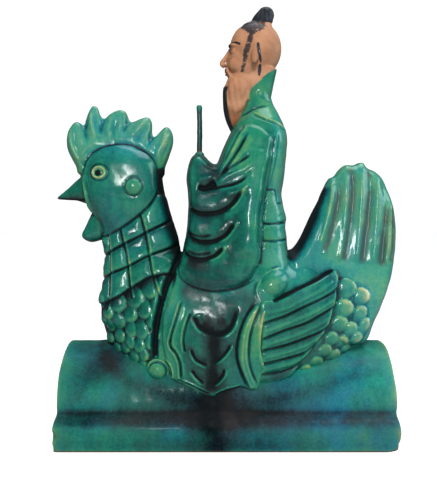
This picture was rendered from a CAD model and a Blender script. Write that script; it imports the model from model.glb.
"""Roof ridge figure: a robed rider on a hen, on a half-barrel ridge tile.

Earthenware under a green lead glaze. The rider's head is bare clay with worn black paint.
"""
import math

import bmesh
import bpy
import numpy as np
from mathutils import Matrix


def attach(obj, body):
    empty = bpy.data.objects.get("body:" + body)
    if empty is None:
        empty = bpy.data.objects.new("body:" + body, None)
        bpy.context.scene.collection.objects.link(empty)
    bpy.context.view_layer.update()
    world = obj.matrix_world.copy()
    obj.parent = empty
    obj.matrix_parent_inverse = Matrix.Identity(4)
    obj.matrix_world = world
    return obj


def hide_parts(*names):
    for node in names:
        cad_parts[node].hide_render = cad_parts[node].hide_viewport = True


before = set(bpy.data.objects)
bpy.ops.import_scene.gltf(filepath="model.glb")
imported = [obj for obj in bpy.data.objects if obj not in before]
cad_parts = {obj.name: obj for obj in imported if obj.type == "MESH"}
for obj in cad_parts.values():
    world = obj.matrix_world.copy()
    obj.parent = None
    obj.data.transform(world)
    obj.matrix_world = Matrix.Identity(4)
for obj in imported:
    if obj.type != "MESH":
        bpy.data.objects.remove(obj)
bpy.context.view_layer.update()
bpy.ops.object.select_all(action="DESELECT")

# Ridge tile
# The roof tile that carries the figure: a half barrel on two foot rolls, pressed over a form from earthenware,
# scraped by hand while soft and fired with the figure as one piece. Its arrises are worn round and one is chipped.

tile_length = 0.2824            # the remeshing rounds its ends back to 280 mm
barrel_radius = 0.0530
barrel_axis_z = 0.0225
tile_wall = 0.0110
foot_half_width = 0.0659
foot_roll_radius = 0.0108
foot_roll_z = 0.0160
foot_block = 0.025              # the clay between a foot roll and the vault
overshoot = 0.02                # how far the cutters stand out past the tile


def pick_alone(obj):
    bpy.ops.object.select_all(action="DESELECT")
    obj.select_set(True)
    bpy.context.view_layer.objects.active = obj


def finish_modifiers(obj):
    pick_alone(obj)
    for modifier in list(obj.modifiers):
        bpy.ops.object.modifier_apply(modifier=modifier.name)


def cut_or_join(obj, other, operation):
    boolean = obj.modifiers.new(operation.title(), "BOOLEAN")
    boolean.operation = operation
    boolean.object = other
    finish_modifiers(obj)
    bpy.data.objects.remove(other)


def remesh_clay(obj, grain):
    modifier = obj.modifiers.new("Remesh", "REMESH")
    modifier.mode = "VOXEL"
    modifier.voxel_size = grain
    finish_modifiers(obj)


def places(obj):
    flat = np.empty(len(obj.data.vertices) * 3, np.float32)
    obj.data.vertices.foreach_get("co", flat)
    return flat.reshape(-1, 3).astype(float)


def move_to(obj, p):
    obj.data.vertices.foreach_set("co", p.astype(np.float32).ravel())
    obj.data.update()


def facing(obj):
    flat = np.empty(len(obj.data.vertices) * 3, np.float32)
    obj.data.vertex_normals.foreach_get("vector", flat)
    return flat.reshape(-1, 3).astype(float)


def evened(obj, values, rounds, factor=0.5):
    """Values at the points, after each has moved towards the mean of its neighbours a number of times."""
    edges = np.empty(len(obj.data.edges) * 2, np.int32)
    obj.data.edges.foreach_get("vertices", edges)
    a, b = edges.reshape(-1, 2).T
    flat = values.reshape(len(values), -1).copy()
    count = np.bincount(a, minlength=len(flat)) + np.bincount(b, minlength=len(flat))
    for _ in range(rounds):
        for column in flat.T:
            mean = (np.bincount(a, column[b], len(flat)) + np.bincount(b, column[a], len(flat))) / count
            column += (mean - column) * factor
    return flat.reshape(values.shape)


def ease(t):
    t = np.clip(t, 0, 1)
    return t * t * (3 - 2 * t)


def bell(t):
    return np.exp(-t * t)


def wander(p, scale, seed):
    """A smooth wandering value between about -1 and 1, for what a hand leaves in soft clay."""
    q = p / scale
    return (np.sin(1.7 * q[:, 0] + 2.1 * q[:, 2] + seed) * np.cos(1.3 * q[:, 1] - 1.9 * q[:, 0] + 2 * seed)
            + np.sin(2.3 * q[:, 2] - 1.1 * q[:, 1] + 3 * seed) * np.cos(0.9 * q[:, 0] + 1.6 * q[:, 2] - seed)) / 2


def mark(obj, name, values):
    mask = obj.data.attributes.new(name, "FLOAT", "POINT")
    mask.data.foreach_set("value", np.asarray(values, np.float32))


def settle_glaze(obj, drawn, broad):
    """Marks where molten glaze gathers in hollows and thins over crests, besides what is drawn by hand."""
    p, n = places(obj), facing(obj)
    near = evened(obj, p, 4)
    wide = evened(obj, near, broad)
    small, large = ((near - p) * n).sum(1) * 1000, ((wide - p) * n).sum(1) * 1000
    gather = (0.12 * ease(small / 0.20) + 0.20 * ease(large / 1.5)
              - 0.10 * ease(-small / 0.16) - 0.10 * ease(-large / 1.5))
    mark(obj, "gather", evened(obj, gather + drawn, 2))


def thin_out(obj, most):
    """Brings a piece down to a number of triangles, and shades it smooth."""
    obj.data.calc_loop_triangles()
    count = len(obj.data.loop_triangles)
    if count > most:
        decimate = obj.modifiers.new("Decimate", "DECIMATE")
        decimate.ratio = most / count
        finish_modifiers(obj)
    pick_alone(obj)
    bpy.ops.object.shade_smooth()


def bar(radius, length, y, z, vertices=128):
    """A round bar that lies along X."""
    bpy.ops.mesh.primitive_cylinder_add(vertices=vertices, radius=radius, depth=length, location=(0, y, z),
                                        rotation=(0, math.pi / 2, 0))
    bpy.ops.object.transform_apply()
    return bpy.context.object


def block(size, y, z):
    bpy.ops.mesh.primitive_cube_add(size=1, location=(0, y, z))
    bpy.context.object.scale = size
    bpy.ops.object.transform_apply()
    return bpy.context.object


tile = bar(barrel_radius, tile_length, 0, barrel_axis_z)
tile.name = "glazed_ridge_tile"
bpy.ops.object.mode_set(mode="EDIT")
bpy.ops.mesh.select_all(action="SELECT")
bpy.ops.mesh.bisect(plane_co=(0, 0, barrel_axis_z), plane_no=(0, 0, 1), clear_inner=True, use_fill=True)
bpy.ops.mesh.extrude_region_move(TRANSFORM_OT_translate={"value": (0, 0, -barrel_axis_z)})
bpy.ops.object.mode_set(mode="OBJECT")
for side in (-1, 1):
    roll = bar(foot_roll_radius, tile_length, side * (foot_half_width - foot_roll_radius), foot_roll_z, 64)
    cut_or_join(tile, roll, "UNION")
    filling = block((tile_length, foot_block, foot_roll_z), side * (foot_half_width - foot_block / 2), foot_roll_z / 2)
    cut_or_join(tile, filling, "UNION")
vault_radius = barrel_radius - tile_wall
cut_or_join(tile, bar(vault_radius, tile_length + overshoot, 0, barrel_axis_z), "DIFFERENCE")
vault_foot = block((tile_length + overshoot, 2 * vault_radius, barrel_axis_z + overshoot), 0,
                   (barrel_axis_z - overshoot) / 2)
cut_or_join(tile, vault_foot, "DIFFERENCE")
remesh_clay(tile, 0.0011)
p = evened(tile, places(tile), 2)
n = facing(tile)
x, y, z = p.T * 1000
sole = ease((z - 1.2) / 4)                     # the soles stay flat
outside = ease((np.hypot(y, np.maximum(z - 22.5, 0)) - 46) / 5)
hand = 0.40 * wander(p * [0.35, 1, 1], 0.022, 1.0) + 0.14 * wander(p, 0.007, 4.0)
# The figure's clay is smeared down over the barrel: a soft apron all round its base, lowest under the skirt
apron_foot = np.interp(x, [-116, -104, -80, -50, -20, 10, 40, 75, 105, 126],
                       [84, 70, 54, 44, 38, 37, 40, 48, 58, 80])
apron = 1.7 * ease((z - apron_foot + 14) / 26)
flanks = ease((np.abs(y) - 46) / 3)
groove = 0.5 * bell((z - 28) / 3.6) * (1 + 0.6 * np.sin(x / 31 + 1)) * flanks
p += n * (outside * sole * (hand + apron - groove) / 1000)[:, None]
# The joint between barrel and foot roll was wiped over with a finger, and is a soft hollow
wiped = bell((z - 25) / 5.5) * flanks
p += (evened(tile, p, 24) - p) * wiped[:, None]
# Worn arrises: the ends draw in at the crown, one foot corner has lost a chip and the other is worn right round
p[:, 0] -= np.sign(x) * ease((np.abs(x) - 136) / 4) * (0.2 + 0.6 * wander(p, 0.018, 2.0)) / 1000 * sole
for place, reach, push in (((-141, -66, 13), (3.2, 3.5, 3.4), (1.8, 1.2, 0)),
                           ((141, -67, 0), (7, 6, 7.5), (-5.0, 2.2, 0)),
                           ((-141, -66, 2), (3, 4, 3), (1.2, 0.8, 0)),
                           ((141, 66, 8), (3, 4, 4), (-1.6, -1.0, 0))):
    worn = bell((x - place[0]) / reach[0]) * bell((y - place[1]) / reach[1]) * bell((z - place[2]) / reach[2])
    p += np.array([push]) * worn[:, None] / 1000
p[:, 0] = np.clip(p[:, 0], -0.1412, 0.1412)
p = evened(tile, p, 1, 0.3)
p[:, 2] = np.where(z < 1.0, 0.0, np.maximum(p[:, 2], 0))
move_to(tile, p)
x, y, z = p.T * 1000
# Glaze pooled in the groove, where it ran off the hem, beside the breast and along the foot of the apron. It is thin
# at the ends, on the foot rolls and towards the tail.
shade = 0.24 * bell((z - 25.0) / 5.0) * ease((np.abs(y) - 44) / 4)
shade += (0.28 * bell((x + 10) / 15) + 0.12 * bell((x + 5) / 60)) * ease((62 - z) / 18)
shade += 0.22 * bell((x - 0.9 * z + 160) / 14) * ease((z - 44) / 20)
shade += 0.14 * bell((z - apron_foot + 2) / 6) * ease((125 - np.abs(x)) / 20)
shade -= 0.10 * ease((np.abs(x) - 128) / 12) + 0.06 * bell((z - 14) / 5) + 0.07 * ease((x - 20) / 70)
settle_glaze(tile, shade, 30)
inner = 1 - ease((np.hypot(y, np.maximum(z - 22.5, 0)) - 44) / 3)
mark(tile, "bare", np.maximum(inner, 1 - ease((z - 0.2) / 1.0)))
mark(tile, "stain", 0.22 + 0.2 * bell((x + 10) / 20) * ease((60 - z) / 25)
     + 0.2 * bell((x + 96) / 30) * ease((z - 40) / 20) + 0.25 * bell((x - 118) / 22) * ease((z - 45) / 20)
     + 0.3 * bell((z - 24) / 5))
mark(tile, "cloudy", 0.4 + 0.5 * ease(x / 90))
thin_out(tile, 190000)


def socket(group, name, kind, way, value=None):
    made = group.interface.new_socket(name, in_out=way, socket_type=kind)
    if value is not None:
        made.default_value = value


def add_node(tree, kind, place, **settings):
    made = tree.nodes.new(kind)
    made.location = place
    for key, value in settings.items():
        setattr(made, key, value)
    return made


def maths(tree, operation, place, a, b=None, clamp=False):
    made = add_node(tree, "ShaderNodeMath", place, operation=operation, use_clamp=clamp)
    for number, value in ((0, a), (1, b)):
        if isinstance(value, (int, float)):
            made.inputs[number].default_value = value
        elif value is not None:
            tree.links.new(value, made.inputs[number])
    return made.outputs[0]


def blend_colours(tree, place, factor, a, b, way="MIX"):
    made = add_node(tree, "ShaderNodeMix", place, data_type="RGBA", blend_type=way, clamp_factor=True)
    for number, value in ((0, factor), (6, a), (7, b)):
        if isinstance(value, (int, float)):
            made.inputs[number].default_value = value
        elif isinstance(value, tuple):
            made.inputs[number].default_value = (*value, 1)
        else:
            tree.links.new(value, made.inputs[number])
    return made.outputs[2]


def set_inputs(node, **values):
    """Sets a node's own sockets by name, with an underscore for each space in it."""
    for name, value in values.items():
        node.inputs[name.replace("_", " ")].default_value = value


def noise(tree, place, vector, scale, detail, roughness, distortion=0.0):
    made = add_node(tree, "ShaderNodeTexNoise", place)
    set_inputs(made, Scale=scale, Detail=detail, Roughness=roughness, Distortion=distortion)
    tree.links.new(vector, made.inputs["Vector"])
    return made.outputs["Fac"]


def marked(tree, place, name):
    return add_node(tree, "ShaderNodeAttribute", place, attribute_name=name).outputs["Fac"]


def ramp(tree, place, value, stops):
    made = add_node(tree, "ShaderNodeValToRGB", place)
    while len(made.color_ramp.elements) < len(stops):
        made.color_ramp.elements.new(0.5)
    for element, (at, colour) in zip(made.color_ramp.elements, stops):
        element.position = at
        element.color = (*colour, 1)
    tree.links.new(value, made.inputs[0])
    return made.outputs[0]


# The glaze as one effect for the tile, the hen and the robe: a lead glaze with copper, whose colour goes from straw
# yellow where it is thin to near black where it is deep. It runs down in faint streaks and gathers in hollows.
glaze = bpy.data.node_groups.new("copper_lead_glaze", "ShaderNodeTree")
for name, value in (("Depth", 0.5), ("Mottle", 0.5), ("Stain", 0.0), ("Cool", 0.5)):
    socket(glaze, name, "NodeSocketFloat", "INPUT", value)
socket(glaze, "Color", "NodeSocketColor", "OUTPUT")
for name in ("Roughness", "Height", "Coat"):
    socket(glaze, name, "NodeSocketFloat", "OUTPUT")
g_in = add_node(glaze, "NodeGroupInput", (-1400, 0))
g_out = add_node(glaze, "NodeGroupOutput", (900, 0))
spot = add_node(glaze, "ShaderNodeTexCoord", (-1400, 400)).outputs["Object"]
stretch = add_node(glaze, "ShaderNodeMapping", (-1200, 420))
set_inputs(stretch, Scale=(1, 1, 0.30))
glaze.links.new(spot, stretch.inputs["Vector"])
streaks = noise(glaze, (-1000, 480), stretch.outputs[0], 130, 3, 0.6)
clouds = noise(glaze, (-1000, 300), spot, 38, 4, 0.6)
specks = noise(glaze, (-1000, 120), spot, 480, 3, 0.7)
patches = noise(glaze, (-1000, -40), spot, 22, 4, 0.6, distortion=0.5)
uneven = maths(glaze, "ADD", (-780, 380), maths(glaze, "MULTIPLY", (-800, 480), streaks, 0.42),
               maths(glaze, "MULTIPLY", (-800, 300), clouds, 0.58))
uneven = maths(glaze, "MULTIPLY", (-600, 300), maths(glaze, "SUBTRACT", (-700, 380), uneven, 0.5),
               g_in.outputs["Mottle"])
depth = maths(glaze, "ADD", (-420, 200), g_in.outputs["Depth"], uneven)
grain_marks = maths(glaze, "MULTIPLY", (-420, 60), maths(glaze, "SUBTRACT", (-560, 60), specks, 0.5), 0.30)
depth = maths(glaze, "ADD", (-330, 160), depth, grain_marks)
depth = maths(glaze, "ADD", (-260, 120), depth, marked(glaze, (-600, -120), "gather"), clamp=True)
body_colour = ramp(glaze, (80, 120), depth, [
    (0.00, (0.50, 0.53, 0.22)), (0.13, (0.27, 0.39, 0.13)), (0.30, (0.075, 0.285, 0.115)),
    (0.46, (0.016, 0.225, 0.122)), (0.60, (0.005, 0.140, 0.094)), (0.74, (0.002, 0.060, 0.046)),
    (0.88, (0.0008, 0.016, 0.014)), (1.00, (0.0004, 0.004, 0.004))])
cool = ramp(glaze, (80, 420), noise(glaze, (-180, 460), spot, 17, 3, 0.6, distortion=0.6),
            [(0.46, (0, 0, 0)), (0.68, (1, 1, 1))])
bluish = maths(glaze, "MULTIPLY", (240, 420), cool, g_in.outputs["Cool"])
body_colour = blend_colours(glaze, (330, 300), bluish, body_colour,
                            blend_colours(glaze, (240, 560), 1.0, body_colour, (0.9, 0.84, 1.5), "MULTIPLY"))
brown = maths(glaze, "ADD", (-200, -200), marked(glaze, (-420, -300), "stain"), g_in.outputs["Stain"])
brown = maths(glaze, "MULTIPLY", (-40, -200), brown,
              ramp(glaze, (-200, -360), patches, [(0.38, (0, 0, 0)), (0.62, (1, 1, 1))]), clamp=True)
# On the comb, the shoulders and the tail it came out of the fire a little cloudy and bluish
body_colour = blend_colours(glaze, (420, 300), marked(glaze, (80, 700), "cloudy"), body_colour,
                            blend_colours(glaze, (330, 560), 1.0, body_colour, (1.3, 1.2, 1.6), "MULTIPLY"))
colour = blend_colours(glaze, (420, 80), maths(glaze, "MULTIPLY", (240, -100), brown, 0.72), body_colour,
                       (0.046, 0.040, 0.040))
glaze.links.new(colour, g_out.inputs["Color"])
rough = maths(glaze, "ADD", (420, -120), maths(glaze, "MULTIPLY", (260, -180), specks, 0.14), 0.11)
rough = maths(glaze, "ADD", (560, -120), rough, maths(glaze, "MULTIPLY", (420, -220), brown, 0.25))
# Dust lies in the deepest hollows, which are duller
dusty = maths(glaze, "MULTIPLY", (240, -560), maths(glaze, "SUBTRACT", (80, -560), depth, 0.74, True), 4.0, True)
rough = maths(glaze, "ADD", (700, -120), rough, maths(glaze, "MULTIPLY", (560, -260), dusty, 0.55), True)
glaze.links.new(rough, g_out.inputs["Roughness"])
glaze.links.new(maths(glaze, "SUBTRACT", (700, -420), 0.35, maths(glaze, "MULTIPLY", (560, -420), dusty, 0.35)),
                g_out.inputs["Coat"])
skin = maths(glaze, "ADD", (420, -300), maths(glaze, "MULTIPLY", (260, -300), specks, 0.25),
             maths(glaze, "MULTIPLY", (260, -420), noise(glaze, (60, -420), spot, 170, 2, 0.5), 0.75))
glaze.links.new(skin, g_out.inputs["Height"])


def bump(tree, place, height, strength):
    made = add_node(tree, "ShaderNodeBump", place)
    set_inputs(made, Strength=strength, Distance=0.0005)
    tree.links.new(height, made.inputs["Height"])
    return made.outputs[0]


def glazed(name, depth, mottle, stain=0.0, clay=None, worn=0.0, cool=0.5):
    """A glaze finish: the shared glaze into a glossy shader, and bare clay where the piece is marked bare."""
    made = bpy.data.materials.new(name)
    made.use_nodes = True
    tree = made.node_tree
    shader = tree.nodes["Principled BSDF"]
    group = add_node(tree, "ShaderNodeGroup", (-700, 200), node_tree=glaze)
    set_inputs(group, Depth=depth, Mottle=mottle, Stain=stain, Cool=cool)
    tree.links.new(bump(tree, (-250, -300), group.outputs["Height"], 0.40), shader.inputs["Normal"])
    if clay is None:
        tree.links.new(group.outputs["Color"], shader.inputs["Base Color"])
        tree.links.new(group.outputs["Roughness"], shader.inputs["Roughness"])
        tree.links.new(group.outputs["Coat"], shader.inputs["Coat Weight"])
    else:
        bare = marked(tree, (-700, -100), "bare")
        where = add_node(tree, "ShaderNodeTexCoord", (-1100, -300)).outputs["Object"]
        grit = noise(tree, (-900, -300), where, 300, 4, 0.65)
        clay_colour = blend_colours(tree, (-700, -300), grit, clay, tuple(c * 0.55 for c in clay))
        tree.links.new(blend_colours(tree, (-250, 200), bare, group.outputs["Color"], clay_colour),
                       shader.inputs["Base Color"])
        dull = maths(tree, "ADD", (-420, 0), group.outputs["Roughness"],
                     maths(tree, "MULTIPLY", (-560, -60), bare, 0.65))
        tree.links.new(maths(tree, "ADD", (-250, 0), dull, worn, True), shader.inputs["Roughness"])
        coat = maths(tree, "SUBTRACT", (-420, -120), group.outputs["Coat"],
                     maths(tree, "MULTIPLY", (-560, -160), bare, 0.35), True)
        tree.links.new(maths(tree, "SUBTRACT", (-250, -120), coat, worn, True), shader.inputs["Coat Weight"])
    set_inputs(shader, Coat_Roughness=0.11, IOR=1.52, Specular_IOR_Level=0.5 - worn)
    return made


def dress(obj, material):
    obj.data.materials.clear()
    obj.data.materials.append(material)


dress(tile, glazed("tile_glaze", depth=0.59, mottle=0.60, stain=0.20, clay=(0.36, 0.17, 0.09), worn=0.26, cool=1.0))
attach(tile, "root")
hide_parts("ridge_figure")

# Hen
# The mount under the rider: a hollow bird of clay, pressed in two half moulds that carry its scales, feathers and
# comb, luted together down the middle and set on the tile. All of it wears the green glaze.

mm = 0.001


def flow(points, closed=False, steps=6):
    """A smooth line through the drawn points of the side view, as a row of (x, z) in millimetres."""
    p = np.array(points, float)
    n = len(p)
    rows = []
    for i in range(n if closed else n - 1):
        if closed:
            a, b, c, d = p[i - 1], p[i], p[(i + 1) % n], p[(i + 2) % n]
        else:
            a, b, c, d = p[max(i - 1, 0)], p[i], p[i + 1], p[min(i + 2, n - 1)]
        for k in range(steps):
            t = k / steps
            rows.append(0.5 * (2 * b + (c - a) * t + (2 * a - 5 * b + 4 * c - d) * t * t
                               + (3 * b - a - 3 * c + d) * t ** 3))
    rows.append(p[0] if closed else p[-1])
    return np.array(rows)


def distance(x, z, line):
    """How far each point lies from a line of short straight steps."""
    best = np.full(len(x), 1e9)
    for (ax, az), (bx, bz) in zip(line[:-1], line[1:]):
        dx, dz = bx - ax, bz - az
        t = np.clip(((x - ax) * dx + (z - az) * dz) / max(dx * dx + dz * dz, 1e-12), 0, 1)
        best = np.minimum(best, (x - ax - t * dx) ** 2 + (z - az - t * dz) ** 2)
    return np.sqrt(best)


def within(x, z, ring):
    inside = np.zeros(len(x), bool)
    for (ax, az), (bx, bz) in zip(ring[:-1], ring[1:]):
        if az != bz:
            crosses = (az > z) != (bz > z)
            inside ^= crosses & (x < ax + (z - az) / (bz - az) * (bx - ax))
    return inside


def gap_inside(x, z, ring):
    """How far inside a closed line each point lies, below 0 where it is outside."""
    gap = distance(x, z, ring)
    return np.where(within(x, z, ring), gap, -gap)


def tapered(t, taper):
    """1 along a line and easing to 0 at its two ends."""
    return ease(t / taper) * ease((1 - t) / taper) if taper else 1


def curve_to_mesh(obj):
    """Turns a drawn curve into a mesh with closed seams, with its place in the mesh."""
    bpy.context.collection.objects.link(obj)
    pick_alone(obj)
    bpy.ops.object.convert(target="MESH")
    bpy.ops.object.transform_apply()
    bpy.ops.object.mode_set(mode="EDIT")
    bpy.ops.mesh.select_all(action="SELECT")
    bpy.ops.mesh.remove_doubles(threshold=1e-6)
    bpy.ops.object.mode_set(mode="OBJECT")


def soft_form(name, outline, half_width, rounding, edge=1.2, grain=0.0014):
    """A block of clay cut to a drawn outline and rounded over on both sides, swelling from its edge inwards."""
    ring = flow(outline, closed=True)
    half = 12.0
    curve = bpy.data.curves.new(name, "CURVE")
    curve.dimensions = "2D"
    curve.fill_mode = "BOTH"
    curve.extrude = half * mm
    line = curve.splines.new("POLY")
    line.points.add(len(ring) - 2)
    line.use_cyclic_u = True
    for point, (x, z) in zip(line.points, ring):
        point.co = (x * mm, z * mm, 0, 1)
    slab = bpy.data.objects.new(name, curve)
    slab.rotation_euler = (math.pi / 2, 0, 0)
    curve_to_mesh(slab)
    remesh_clay(slab, grain)
    p = places(slab)
    x, z = p[:, 0] / mm, p[:, 2] / mm
    deep = np.clip(distance(x, z, ring) / rounding, 0, 1)
    width = half_width(x, z) if callable(half_width) else half_width
    edge = edge(x, z) if callable(edge) else edge
    p[:, 1] = p[:, 1] / half * (edge + (width - edge) * np.sqrt(1 - (1 - deep) ** 2))
    move_to(slab, p)
    return slab


def ball(name, centre, size, tilt=0.0):
    """An egg of clay by half sizes in millimetres, turned about Y by tilt degrees."""
    bpy.ops.object.select_all(action="DESELECT")
    bpy.ops.mesh.primitive_uv_sphere_add(segments=48, ring_count=24, radius=1,
                                         location=[c * mm for c in centre], rotation=(0, math.radians(tilt), 0))
    egg = bpy.context.object
    egg.name = name
    egg.scale = [s * mm for s in size]
    bpy.ops.object.transform_apply()
    return egg


def lute(name, forms, grain, even):
    """Joins block forms into one skin of clay and smooths the joints over."""
    bpy.ops.object.select_all(action="DESELECT")
    for form in forms:
        form.select_set(True)
    bpy.context.view_layer.objects.active = forms[0]
    bpy.ops.object.join()
    whole = bpy.context.object
    whole.name = whole.data.name = name
    remesh_clay(whole, grain)
    move_to(whole, evened(whole, places(whole), even))
    return whole


class Carving:
    """The pattern cut in the mould: a height in millimetres over the side view, and how deep the glaze lies there."""

    def __init__(self, obj):
        p = places(obj)
        self.x, self.y, self.z = p.T / mm
        self.height, self.pool, self.wash, self.stain, self.scales, self.rims = np.zeros((6, len(p)))

    def near(self, line, reach):
        low, high = line.min(0) - reach, line.max(0) + reach
        return np.flatnonzero((self.x > low[0]) & (self.x < high[0]) & (self.z > low[1]) & (self.z < high[1]))

    def around(self, x, z, reach):
        """The points near a place, and how far each lies from it."""
        at = self.near(np.array([(x, z)]), reach)
        return at, np.hypot(self.x[at] - x, self.z[at] - z)

    def trace(self, points, reach):
        """The points near a line, how far to the left of its way each lies, and how far along it."""
        row = flow(points)
        at = self.near(row, reach)
        x, z = self.x[at], self.z[at]
        best, side, along = np.full(len(at), 1e9), np.ones(len(at)), np.zeros(len(at))
        for k, ((ax, az), (bx, bz)) in enumerate(zip(row[:-1], row[1:])):
            dx, dz = bx - ax, bz - az
            t = np.clip(((x - ax) * dx + (z - az) * dz) / max(dx * dx + dz * dz, 1e-12), 0, 1)
            gap = (x - ax - t * dx) ** 2 + (z - az - t * dz) ** 2
            closer = gap < best
            best[closer] = gap[closer]
            side[closer] = np.sign(dx * (z - az) - dz * (x - ax))[closer]
            along[closer] = (k + t[closer]) / (len(row) - 1)
        return at, np.sqrt(best) * side, along

    def ridge(self, points, width, height, taper=0.2, pale=0.0):
        at, d, t = self.trace(points, 3 * width)
        hill = bell(d / width) * tapered(t, taper)
        self.height[at] += height * hill
        self.pool[at] -= pale * hill

    def groove(self, points, width, depth, dark, taper, lip=0.0, side=1, pale=0.3):
        """A cut line with deep glaze in it, and a raised pale lip along one side where one is asked for."""
        at, d, t = self.trace(points, 5 * width)
        ends = tapered(t, taper)
        self.height[at] -= depth * bell(d / width) * ends
        run = 0.9 + 0.25 * np.sin(7 * t + 0.4 * points[0][0])        # the glaze ran unevenly along it
        self.pool[at] += dark * (0.85 * bell(d / width) + 0.42 * bell(d / (3.2 * width))) * ends * run
        if lip:
            hill = bell((d * side - 2.0 * width) / width) * ends
            self.height[at] += lip * hill
            self.pool[at] -= pale * hill

    def fold(self, points, depth, roll, reach, taper):
        """A hanging fold: the clay rolls over full to the right of the line and runs up gently to the left of it."""
        at, d, t = self.trace(points, 1.6 * reach)
        d = -d
        ends = tapered(t, taper)
        dip = np.where(d > 0, bell(d / 1.2), np.exp(np.minimum(d, 0) / (0.30 * reach)))
        self.height[at] += (roll * bell((d - 0.50 * reach) / (0.42 * reach)) - depth * dip) * ends
        shadow = np.where(d > 0, bell(d / (0.42 * reach)), bell(d / 3.2))
        self.pool[at] += 0.30 * (0.8 * bell(d / 1.2) + 0.75 * shadow) * ends

    def tint(self, points, width, deeper, stained=0.0, taper=0.15, round_edge=False):
        """Glaze that lies deeper, or thinner where the value is negative, along a line, round the edge too if asked."""
        at, d, t = self.trace(points, 3 * width)
        there = bell(d / width) * tapered(t, taper)
        (self.wash if round_edge else self.pool)[at] += deeper * there
        self.stain[at] += stained * there

    def area(self, points, deeper, edge=6.0, stained=0.0):
        """A whole part of the surface where the glaze lies deeper or thinner."""
        ring = flow(points, closed=True)
        at = self.near(ring, edge)
        inside = ease(0.5 + gap_inside(self.x[at], self.z[at], ring) / edge)
        self.wash[at] += deeper * inside
        self.stain[at] += stained * inside

    def dome(self, x, z, a, b, tilt, height, deeper=0.0):
        """A low oval mound, its long half axis a turned up by tilt degrees."""
        at = self.near(np.array([(x, z)]), 1.2 * max(a, b))
        c, s = math.cos(math.radians(tilt)), math.sin(math.radians(tilt))
        dx, dz = self.x[at] - x, self.z[at] - z
        r = np.hypot((dx * c + dz * s) / a, (dz * c - dx * s) / b)
        self.height[at] += height * np.sqrt(np.clip(1 - r * r, 0, 1))
        self.pool[at] += deeper * ease(1.15 - r)

    def patch(self, points, height, edge, swell=0.0, reach=8.0):
        """A raised patch with soft edges, swelling further towards its middle."""
        ring = flow(points, closed=True)
        at = self.near(ring, 2 * edge)
        gap = gap_inside(self.x[at], self.z[at], ring)
        self.height[at] += height * ease(0.5 + gap / edge)
        if swell:
            self.height[at] += swell * np.sqrt(1 - (1 - np.clip(gap / reach, 0, 1)) ** 2)

    def cushions(self, rows, ring, rise, reach):
        """Puffed cells of clay between the lines, inside a ring."""
        ring = flow(ring, closed=True)
        at = self.near(ring, 0)
        at = at[within(self.x[at], self.z[at], ring)]
        x, z = self.x[at], self.z[at]
        gap = distance(x, z, ring)
        for row in rows:
            gap = np.minimum(gap, distance(x, z, flow(row)))
        self.height[at] += rise * np.sqrt(1 - (1 - np.clip(gap / reach, 0, 1)) ** 2)

    def scale(self, x, z, a, b, height, points_to, light, rim=0.3):
        """A pebble-like scale: it swells towards its tip, and on the side named its glaze has run off thin."""
        at = self.near(np.array([(x, z)]), 1.4 * max(a, b))
        c, s = math.cos(math.radians(points_to)), math.sin(math.radians(points_to))
        dx, dz = self.x[at] - x, self.z[at] - z
        along, across = (dx * c + dz * s) / b, (dz * c - dx * s) / a
        across = across / (1 + 0.22 * np.clip(along, -1, 1))
        r = np.hypot(along, across)
        lift = height * (0.72 + 0.28 * np.clip(along, -1, 1)) * np.clip(1 - r ** 2.3, 0, 1) ** 0.5
        over = lift > self.scales[at]
        self.scales[at] = np.where(over, lift, self.scales[at])
        facing_light = (dx * math.cos(math.radians(light)) + dz * math.sin(math.radians(light))) / (0.5 * (a + b))
        edge = rim * ease((r - 0.45) / 0.3) * ease((facing_light + 0.1) / 0.7) - 0.16 * ease(-facing_light / 0.8)
        self.rims[at] = np.where(over, edge, self.rims[at])

    def press(self, obj, furrow):
        """Moves the skin out and in by the carving, on the parts that face the mould, and settles the glaze. The
        furrow is cut by hand afterwards, only where the skin faces forward."""
        n, p = facing(obj), places(obj)
        flat, front = ease((np.abs(n[:, 1]) - 0.08) / 0.42), ease((-n[:, 0] - 0.1) / 0.4)
        hand = 0.22 * wander(p, 0.0085, 2.0) + 0.07 * wander(p, 0.0034, 5.0)
        rise = (self.height + self.scales) * flat + hand - furrow * front
        move_to(obj, p + n * (rise * mm)[:, None])
        move_to(obj, evened(obj, places(obj), 1))
        settle_glaze(obj, self.wash + (self.pool - self.rims) * flat, 40)
        mark(obj, "stain", self.stain * flat)
        tail_end, comb_top = ease((self.x - 60) / 60), ease((self.z - 232) / 16) * (self.x < -40)
        back_panel = ease((self.x - 34) / 10) * ease((self.z - 125) / 25)
        mark(obj, "cloudy", np.maximum(np.maximum(tail_end, comb_top), back_panel))


def flank(x, z):
    """Half the width of the hen and the rider's lap: a leaf 96 mm wide in plan, drawn in towards the top."""
    leaf = 48 * np.sqrt(np.clip(1 - ((x - 5) / 127) ** 2, 0.02, 1))
    return leaf * (1 - (np.clip(z - 45, 0, 200) / 190) ** 2)


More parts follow.
